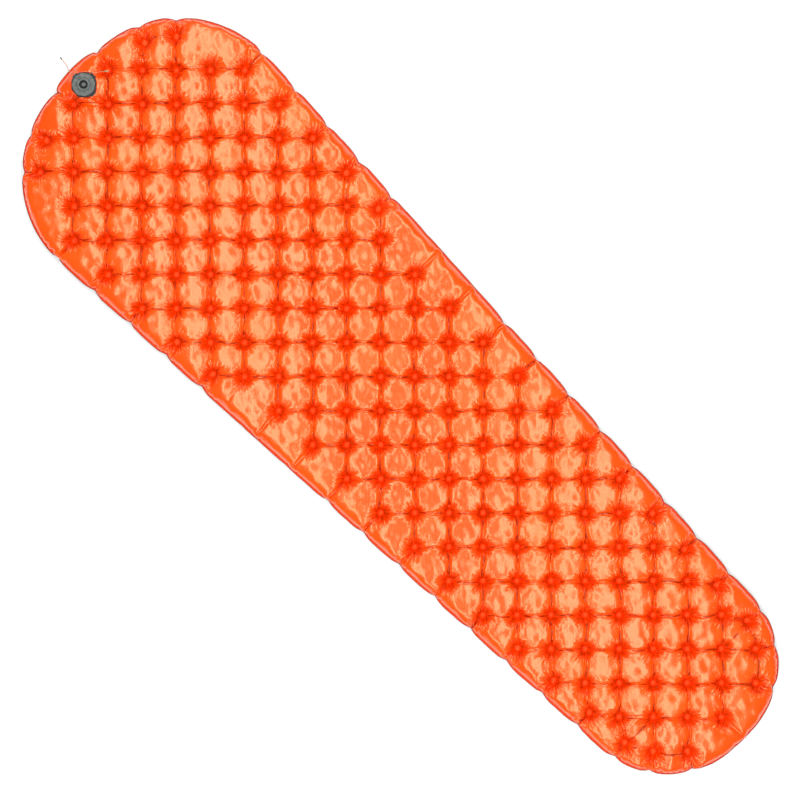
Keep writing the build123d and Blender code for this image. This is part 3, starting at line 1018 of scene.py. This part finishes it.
@dataclass
class PadBody:
    """The inflated body: both sheets, the seam band and the fibre layer."""

    outline: PadOutline
    lattice: WeldLattice
    mid: float = 25.0
    skin: float = 0.3
    crown: float = 24.2
    notch_depth: float = 5.5
    notch_width: float = 11.0
    ruffle: float = 1.3
    flatness: float = 2.5
    gathers: int = 12
    gather_size: float = 0.65
    sway: float = 1.7
    crease: float = 0.5
    rim_points: int = 1500

    def rim_shift(self, plan: np.ndarray, fade_to: float = 26.0) -> np.ndarray:
        """Draw in and wave the edge of the pad.

        Args:
            plan: Plan points.
            fade_to: Depth from the outline where the shift has died away.

        Returns:
            Shift of each point in x, y and z.
        """
        depth, away = self.outline.depth(plan)
        on_rim = plan + away * depth[:, None]
        fade = 1 - ramp(0.0, fade_to, depth)
        pull = self.lattice.notch_pull(on_rim, self.notch_width)
        inward = self.notch_depth * pull - 0.5 * ripple(on_rim, 45.0, 5) * (1 - pull)
        shift = np.zeros((len(plan), 3))
        shift[:, :2] = -away * (np.maximum(inward, 0.0) * fade)[:, None]
        shift[:, 2] = self.ruffle * ripple(on_rim, 70.0, 8) * fade
        return shift

    def shape(self, net: Inflation, points: np.ndarray) -> None:
        """Finish the inflated net: even crowns, wavy folds, drawn-in rim.

        Args:
            net: The inflation net.
            points: Its settled points.
        """
        rise = points[:, 2] - self.mid
        top = np.percentile(rise[net.valve_gap > 60], 98.0)
        near_valve = ramp(52.0, 28.0, net.valve_gap)
        rise = rise * (self.crown / top * (1 - near_valve) + near_valve)
        knee = self.crown - 3.0
        over = np.maximum(rise - knee, 0.0)
        rise = np.where(near_valve > 0.5, rise, np.minimum(rise, knee) + over / (1 + over / 6.0))
        part = np.clip(rise / (self.crown + 0.6), 0.0, 1.0)
        full = (self.crown + 0.4) * (1 - (1 - part) ** self.flatness)
        rise += (full - rise) * (1 - near_valve)
        self.fold = self.lattice.fold_distance(net.plan)
        free = ramp(5.0, 16.0, net.weld_gap) * ramp(0.0, 12.0, net.depth) * ramp(27.0, 40.0, net.valve_gap)
        rel = net.plan - self.lattice.points[net.weld]
        turn = np.arctan2(rel[:, 1], rel[:, 0])
        phase = (net.weld * 0.6180339) % 1.0 * 2 * np.pi
        fan = np.sin(self.gathers * turn + phase + 1.4 * np.sin(2 * turn + 3 * phase))
        rise += self.gather_size * fan * ramp(6.0, 12.0, net.weld_gap) * ramp(30.0, 16.0, net.weld_gap)
        plan = points[:, :2].copy()
        for axis, seed in ((0, 21), (1, 22)):
            wave = self.sway * ripple(net.plan, 38.0, seed) + 0.4 * ripple(net.plan, 16.0, seed + 5)
            plan[:, axis] += wave * free
        rise += self.crease * ripple(net.plan, 23.0, 31) * free
        shift = self.rim_shift(net.plan)
        self.rise = np.maximum(rise, 0.0) + self.skin
        self.flat = plan + shift[:, :2]
        self.wave = shift[:, 2]

    def quads(self, net: Inflation) -> np.ndarray:
        """Faces of the net, without the valve hole and the outermost strip.

        Args:
            net: The inflation net.

        Returns:
            Corner numbers, four to a row, facing up.
        """
        faces = net.cells_whole()
        edge_only = net.rim[faces].all(1)
        hole = (net.valve_gap[faces] < net.valve_hole).any(1)
        faces = faces[~edge_only & ~hole]
        p = self.flat[faces]
        area = np.cross(p[:, 2] - p[:, 0], p[:, 3] - p[:, 1])
        return faces if area.mean() > 0 else faces[:, ::-1]

    def sheet(self, net: Inflation, face: Face) -> bpy.types.Object:
        """Build one sheet with its seam flange.

        Args:
            net: The inflation net.
            face: Upper or lower sheet.

        Returns:
            The sheet.
        """
        up = 1.0 if face is Face.UPPER else -1.0
        z = self.mid + up * self.rise + self.wave
        if face is Face.LOWER:
            z = np.maximum(z, 0.35)
        flat = self.flat.copy()
        hug = (net.valve_gap < net.valve_hole + 2.2) & (net.valve_gap >= net.valve_hole)
        if face is Face.UPPER:
            rel = flat[hug] - self.lattice.valve
            flat[hug] = self.lattice.valve + rel / np.linalg.norm(rel, axis=1)[:, None] * net.valve_hole
        pillow = np.column_stack([flat, z])
        rim = self.outline.loop(self.rim_points)
        _, away = self.outline.depth(rim)
        rows = ((5.6, 0.15), (4.5, 0.28), (3.8, 0.42), (2.6, 0.34),
                (1.2, 0.36), (0.5, 0.38), (0.1, 0.34), (0.0, 0.22))
        strips = []
        for inset, height in rows:
            ring = rim - away * inset
            shift = self.rim_shift(ring)
            strips.append(np.column_stack([ring + shift[:, :2], self.mid + up * height + shift[:, 2]]))
        points = np.concatenate([pillow] + strips)
        faces = self.quads(net) if face is Face.UPPER else self.quads(net)[:, ::-1]
        flange = ring_faces(len(rows), self.rim_points, len(pillow), flip=face is Face.UPPER)
        quads = np.concatenate([faces, flange])
        item = make_mesh(face.value + "_cloth", points * MM, quads.ravel(), np.full(len(quads), 4))
        extra = len(points) - len(pillow)
        rel = net.plan - self.lattice.points[net.weld]
        seed = (net.weld * 0.6180339) % 1.0 * 7.0
        welds = np.concatenate([np.column_stack([rel, seed]), np.tile((FAR, FAR, 0.0), (extra, 1))])
        set_field(item, "weld_rel", "FLOAT_VECTOR", welds)
        set_field(item, "weld_mm", "FLOAT", np.concatenate([net.weld_gap, np.full(extra, FAR)]))
        set_field(item, "fold_mm", "FLOAT", np.concatenate([self.fold, np.full(extra, FAR)]))
        insets = np.repeat([row[0] for row in rows], self.rim_points)
        set_field(item, "rim_mm", "FLOAT", np.concatenate([net.depth + net.flange, insets]))
        return item

    def seam_band(self) -> bpy.types.Object:
        """Fused band between the sheets, drawn in with them.

        Returns:
            The band.
        """
        rim = self.outline.loop(self.rim_points)
        _, away = self.outline.depth(rim)
        rings = []
        for inset, height in ((0.1, -0.2), (0.1, 0.2), (4.6, 0.12), (4.6, -0.12), (0.1, -0.2)):
            ring = rim - away * inset
            shift = self.rim_shift(ring)
            rings.append(np.column_stack([ring + shift[:, :2], self.mid + height + shift[:, 2]]))
        quads = ring_faces(len(rings), self.rim_points)
        return make_mesh("seam_band", np.concatenate(rings) * MM, quads.ravel(), np.full(len(quads), 4))

    def fibre(self, loft: float = 5.0) -> bpy.types.Object:
        """Lofted fibre layer with a hole round each weld.

        Args:
            loft: Half height of the layer between the welds.

        Returns:
            The layer.
        """
        net = Inflation(self.outline, self.lattice)
        net.net(8)
        away = net.weld_gap
        keep = (away > 8.6) & (net.depth > 8.0)
        height = 0.6 + loft * ramp(8.0, 26.0, away) * ramp(8.0, 26.0, net.depth) * 0.5
        height *= 1 + 0.2 * ripple(net.plan, 18.0, 41)
        faces = net.cells_whole()
        faces = faces[keep[faces].all(1)]
        count = len(net.plan)
        top = np.column_stack([net.plan, self.mid + height])
        under = np.column_stack([net.plan, self.mid - height])
        edges = np.concatenate([faces[:, [k, (k + 1) % 4]] for k in range(4)])
        key = np.sort(edges, 1)
        _, first, times = np.unique(key[:, 0] * count + key[:, 1], return_index=True, return_counts=True)
        border = edges[first[times == 1]]
        walls = np.column_stack([border[:, 0], border[:, 1], border[:, 1] + count, border[:, 0] + count])
        quads = np.concatenate([faces[:, ::-1], faces + count, walls])
        used, new = np.unique(quads, return_inverse=True)
        points = np.concatenate([top, under])[used]
        return make_mesh("fibre_layer", points * MM, new.ravel(), np.full(len(quads), 4))

    def build(self) -> None:
        """Inflate, build and dress the whole body."""
        net = Inflation(self.outline, self.lattice)
        points = net.run((((12, 90), (24, 70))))
        self.shape(net, points)
        orange = CoatedCloth("coated orange cloth", (0.98, 0.064, 0.0002), (0.26, 0.010, 0.001),
                             (1.0, 0.10, 0.003), (0.95, 0.036, 0.0001), (1.0, 0.64, 0.38))
        grey = CoatedCloth("coated grey cloth", (0.045, 0.05, 0.06), (0.012, 0.014, 0.018),
                           (0.09, 0.10, 0.115), (0.035, 0.04, 0.048), (1.0, 1.0, 1.0),
                           roughness=0.55, gloss=0.5)
        for face, node, cloth, slot in ((Face.UPPER, "top_sheet", orange, "sheet_top"),
                                        (Face.LOWER, "bottom_sheet", grey, "sheet_bottom")):
            item = self.sheet(net, face)
            item.data.materials.append(cloth.make())
            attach(item, "pad")
            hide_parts(node)
            LOG.info("%s: %d faces", item.name, len(item.data.polygons))
        band = self.seam_band()
        film = Moulding("fused film", (0.30, 0.012, 0.001), (0.38, 0.02, 0.002), 0.7)
        band.data.materials.append(film.make())
        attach(band, "pad")
        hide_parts("seam_weld")
        wadding = self.fibre()
        lofted = Thread("lofted fibre", (0.8, 0.8, 0.78), (0.6, 0.6, 0.58), 700.0, 0.4)
        wadding.data.materials.append(lofted.make())
        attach(wadding, "pad")
        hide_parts("insulation_layer")
        LOG.info("seam band and fibre layer built")


@dataclass
class AirValve:
    """Two-cap air valve: dresses the moulded pieces."""

    nodes: dict[str, bpy.types.Object]

    def finishes(self) -> dict[str, Moulding]:
        """Choose the finish of each moulded piece.

        Returns:
            A finish for each node.
        """
        # The cap's dark rings are painted shade: in the recess round the button, between the tiers, and
        # round its outer edge.
        cap = Moulding("cap rubber", (0.085, 0.095, 0.092), (0.17, 0.18, 0.17), 0.5, 0.05, 1.0, 0.22,
                       ((3.8, 8.3, 0.97), (12.2, 13.6, 0.6), (21.6, 40.0, 0.8)))
        body = Moulding("valve plastic", (0.03, 0.034, 0.037), (0.05, 0.055, 0.06), 0.5)
        soft = Moulding("soft rubber", (0.03, 0.034, 0.036), (0.06, 0.066, 0.068), 0.55, 0.04)
        return {"valve_base": body, "valve_seat": body, "deflate_cap": cap, "inflate_cap": cap,
                "deflate_strap": soft, "inflate_strap": soft, "neck_gasket": soft, "flap_membrane": soft,
                "release_button": Moulding("button plastic", (0.35, 0.38, 0.4), (0.45, 0.47, 0.5), 0.4),
                "weld_spots": Moulding("weld film", (0.7, 0.10, 0.03), (0.8, 0.2, 0.08), 0.35),
                "long_tail_bead": Moulding("black bead", (0.02, 0.02, 0.023), (0.05, 0.05, 0.055), 0.4),
                "short_tail_crimp": Moulding("green crimp", (0.20, 0.25, 0.10), (0.28, 0.32, 0.16), 0.45)}

    def build(self) -> None:
        """Give every moulded node its material."""
        made: dict[str, bpy.types.Material] = {}
        for node, finish in self.finishes().items():
            if finish.name not in made:
                made[finish.name] = finish.make()
            for slot in self.nodes[node].material_slots:
                slot.material = made[finish.name]
            for polygon in self.nodes[node].data.polygons:
                polygon.use_smooth = False
            LOG.info("dressed %s", node)


@dataclass
class TagString:
    """String round the valve neck with a knot, a long and a short tail."""

    nodes: dict[str, bpy.types.Object]
    thick: float = 1.4
    knot: Triple = (0.1, 887.5, 53.1)
    knot_size: float = 1.35
    loop: tuple[Triple, ...] = ((1.45, 886.85, 53.1), (10.7, 876.7, 53.1), (12.7, 864.9, 53.1),
                                (8.0, 852.9, 53.1), (-3.0, 846.8, 53.1), (-15.4, 848.0, 53.1),
                                (-24.7, 856.5, 53.1), (-27.3, 868.9, 53.1), (-22.6, 880.9, 53.1),
                                (-12.2, 887.9, 53.1), (-1.4, 887.75, 53.1))
    long_tail: tuple[Triple, ...] = ((-0.35, 888.95, 53.1), (-3.2, 894.5, 52.3), (-6.6, 899.6, 51.1),
                                     (-8.6, 905.0, 47.6), (-9.2, 910.2, 40.5), (-8.0, 916.2, 30.5),
                                     (-6.4, 921.5, 19.0), (-4.8, 926.5, 8.0), (-3.6, 933.5, 1.9),
                                     (-2.6, 943.0, 1.5), (-2.2, 947.0, 1.5))
    short_tail: tuple[Triple, ...] = ((1.45, 888.3, 53.1), (7.0, 889.5, 52.5), (13.5, 884.5, 51.4),
                                      (20.0, 876.5, 51.1), (27.5, 869.0, 51.1), (35.0, 863.5, 51.1),
                                      (39.5, 859.5, 51.8))

    def run(self, name: str, route: tuple[Triple, ...]) -> bpy.types.Object:
        """Build one run of string as a smooth curve.

        Args:
            name: Object name.
            route: The points that steer it, in millimetres.

        Returns:
            The curve object.
        """
        curve = bpy.data.curves.new(name, "CURVE")
        curve.dimensions = "3D"
        curve.bevel_depth = self.thick / 2 * MM
        curve.bevel_resolution = 4
        curve.resolution_u = 12
        curve.use_fill_caps = True
        spline = curve.splines.new("NURBS")
        spline.points.add(len(route) - 1)
        for point, spot in zip(spline.points, route):
            point.co = (spot[0] * MM, spot[1] * MM, spot[2] * MM, 1.0)
        spline.order_u = 3
        spline.use_endpoint_u = True
        item = bpy.data.objects.new(name, curve)
        bpy.context.scene.collection.objects.link(item)
        return item

    def knot_mesh(self) -> bpy.types.Object:
        """Overhand knot as a closed tube along a trefoil.

        Returns:
            The knot.
        """
        turns, around, strand = 120, 10, 0.42
        t = np.linspace(0, 2 * np.pi, turns, endpoint=False)
        line = np.stack([np.sin(t) + 2 * np.sin(2 * t), np.cos(t) - 2 * np.cos(2 * t), -np.sin(3 * t)], 1)
        line *= (self.knot_size - strand) / 3.0
        way = np.roll(line, -1, 0) - np.roll(line, 1, 0)
        way /= np.linalg.norm(way, axis=1)[:, None]
        side = np.cross(way, (0.0, 0.0, 1.0))
        side /= np.linalg.norm(side, axis=1)[:, None]
        lift = np.cross(side, way)
        rings = []
        for angle in np.linspace(0, 2 * np.pi, around, endpoint=False):
            rings.append(line + strand * (math.cos(angle) * side + math.sin(angle) * lift))
        points = (np.concatenate(rings + rings[:1]) + np.array(self.knot)) * MM
        quads = ring_faces(around + 1, turns)
        return make_mesh("string_knot", points, quads.ravel(), np.full(len(quads), 4))

    def build(self) -> None:
        """Lay the string: the knot and each run as a curve."""
        thread = Thread("tag string", (0.72, 0.27, 0.10), (0.28, 0.08, 0.03)).make()
        knot = self.knot_mesh()
        knot.data.materials.append(thread)
        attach(knot, "pad")
        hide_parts("tag_knot")
        plans = (("string_long_tail", "tag_long_tail", self.long_tail, 0.0871, "fitting", Lay.LOOSE,
                  [self.nodes["long_tail_bead"], knot]),
                 ("string_short_tail", "tag_short_tail", self.short_tail, 0.0498, "fitting", Lay.LOOSE,
                  [self.nodes["short_tail_crimp"]]),
                 ("string_loop", "tag_loop", self.loop, 0.122, "object", Lay.TAUT, []))
        for name, node, route, length, end, lay, extra in plans:
            item = self.run(name, route)
            item.data.materials.append(thread)
            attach(item, "pad")
            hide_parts(node)
            LOG.info("%s laid, %.1f mm", name, length * 1000)


@dataclass
class Studio:
    """Pale floor, two long strip lights, sky and the camera, in metres."""

    aim: Triple = (-0.0057, 0.0157, 0.025)
    distance: float = 3.45
    span: float = 1.5416
    floor_half: float = 6.0
    floor_drop: float = 0.0002
    floor_points: int = 25
    strip_aside: float = 0.49
    strip_height: float = 3.1
    strip_size: Pair = (9.4, 0.58)
    strip_power: float = 150.0
    sky_light: float = 0.28
    sky_seen: float = 0.6

    def floor(self) -> None:
        """Lay a pale floor, a little below the pad."""
        steps = np.linspace(-self.floor_half, self.floor_half, self.floor_points)
        x, y = np.meshgrid(steps, steps)
        points = np.stack([x.ravel(), y.ravel(), np.full(x.size, -self.floor_drop)], 1)
        k = np.arange(x.size).reshape(x.shape)
        quads = np.stack([k[:-1, :-1], k[:-1, 1:], k[1:, 1:], k[1:, :-1]], -1).reshape(-1, 4)
        item = make_mesh("studio_floor", points, quads.ravel(), np.full(len(quads), 4))
        material, w, shader = new_material("studio floor")
        tone = w.noise(w.place(), 2.0, 2.0)
        w.feed(shader.inputs["Base Color"], w.blend(tone, (0.93, 0.93, 0.93, 1), (0.95, 0.95, 0.95, 1)))
        shader.inputs["Roughness"].default_value = 0.9
        item.data.materials.append(material)

    def strip(self, name: str, side: float) -> None:
        """Hang a long strip light across the pad, facing straight down.

        Args:
            name: Light name.
            side: 1 or -1, for the side of the middle that it hangs on.
        """
        lamp = bpy.data.lights.new(name, "AREA")
        lamp.shape = "RECTANGLE"
        lamp.size, lamp.size_y = self.strip_size
        lamp.energy = self.strip_power
        lamp.color = (1.0, 0.99, 0.97)
        item = bpy.data.objects.new(name, lamp)
        bpy.context.scene.collection.objects.link(item)
        item.location = (side * self.strip_aside, -side * self.strip_aside, self.strip_height)
        item.rotation_euler = (0.0, 0.0, math.pi / 4)

    def camera(self) -> None:
        """Look straight down, with the head of the pad to the upper left."""
        lens = bpy.data.cameras.new("camera")
        lens.sensor_width = 36.0
        lens.lens = 36.0 * self.distance / self.span
        lens.clip_end = 50.0
        item = bpy.data.objects.new("camera", lens)
        bpy.context.scene.collection.objects.link(item)
        item.location = (self.aim[0], self.aim[1], self.aim[2] + self.distance)
        item.rotation_euler = (0.0, 0.0, -math.pi / 4)
        bpy.context.scene.camera = item

    def build(self) -> None:
        """Set up the floor, lights, sky and camera."""
        self.floor()
        self.strip("left strip", -1.0)
        self.strip("right strip", 1.0)
        world = bpy.data.worlds.new("studio sky")
        world.use_nodes = True
        shade = world.node_tree.nodes["Background"]
        shade.inputs[0].default_value = (1.0, 1.0, 1.0, 1.0)
        sky = Wiring(world.node_tree)
        seen = sky.add("ShaderNodeLightPath").outputs["Is Camera Ray"]
        sky.feed(shade.inputs[1], sky.plus(sky.times(seen, self.sky_seen), self.sky_light))
        bpy.context.scene.world = world
        bpy.context.scene.view_settings.view_transform = "Standard"
        self.camera()
        LOG.info("studio ready")


def main() -> None:
    """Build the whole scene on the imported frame."""
    logging.basicConfig(level=logging.INFO, format="%(name)s: %(message)s")
    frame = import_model()
    outline = PadOutline()
    lattice = WeldLattice(outline)
    LOG.info("%d welds, %d folds", len(lattice.points), len(lattice.folds))
    Studio().build()
    TagString(frame["nodes"]).build()
    PadBody(outline, lattice).build()
    AirValve(frame["nodes"]).build()


if __name__ == "__main__":
    main()
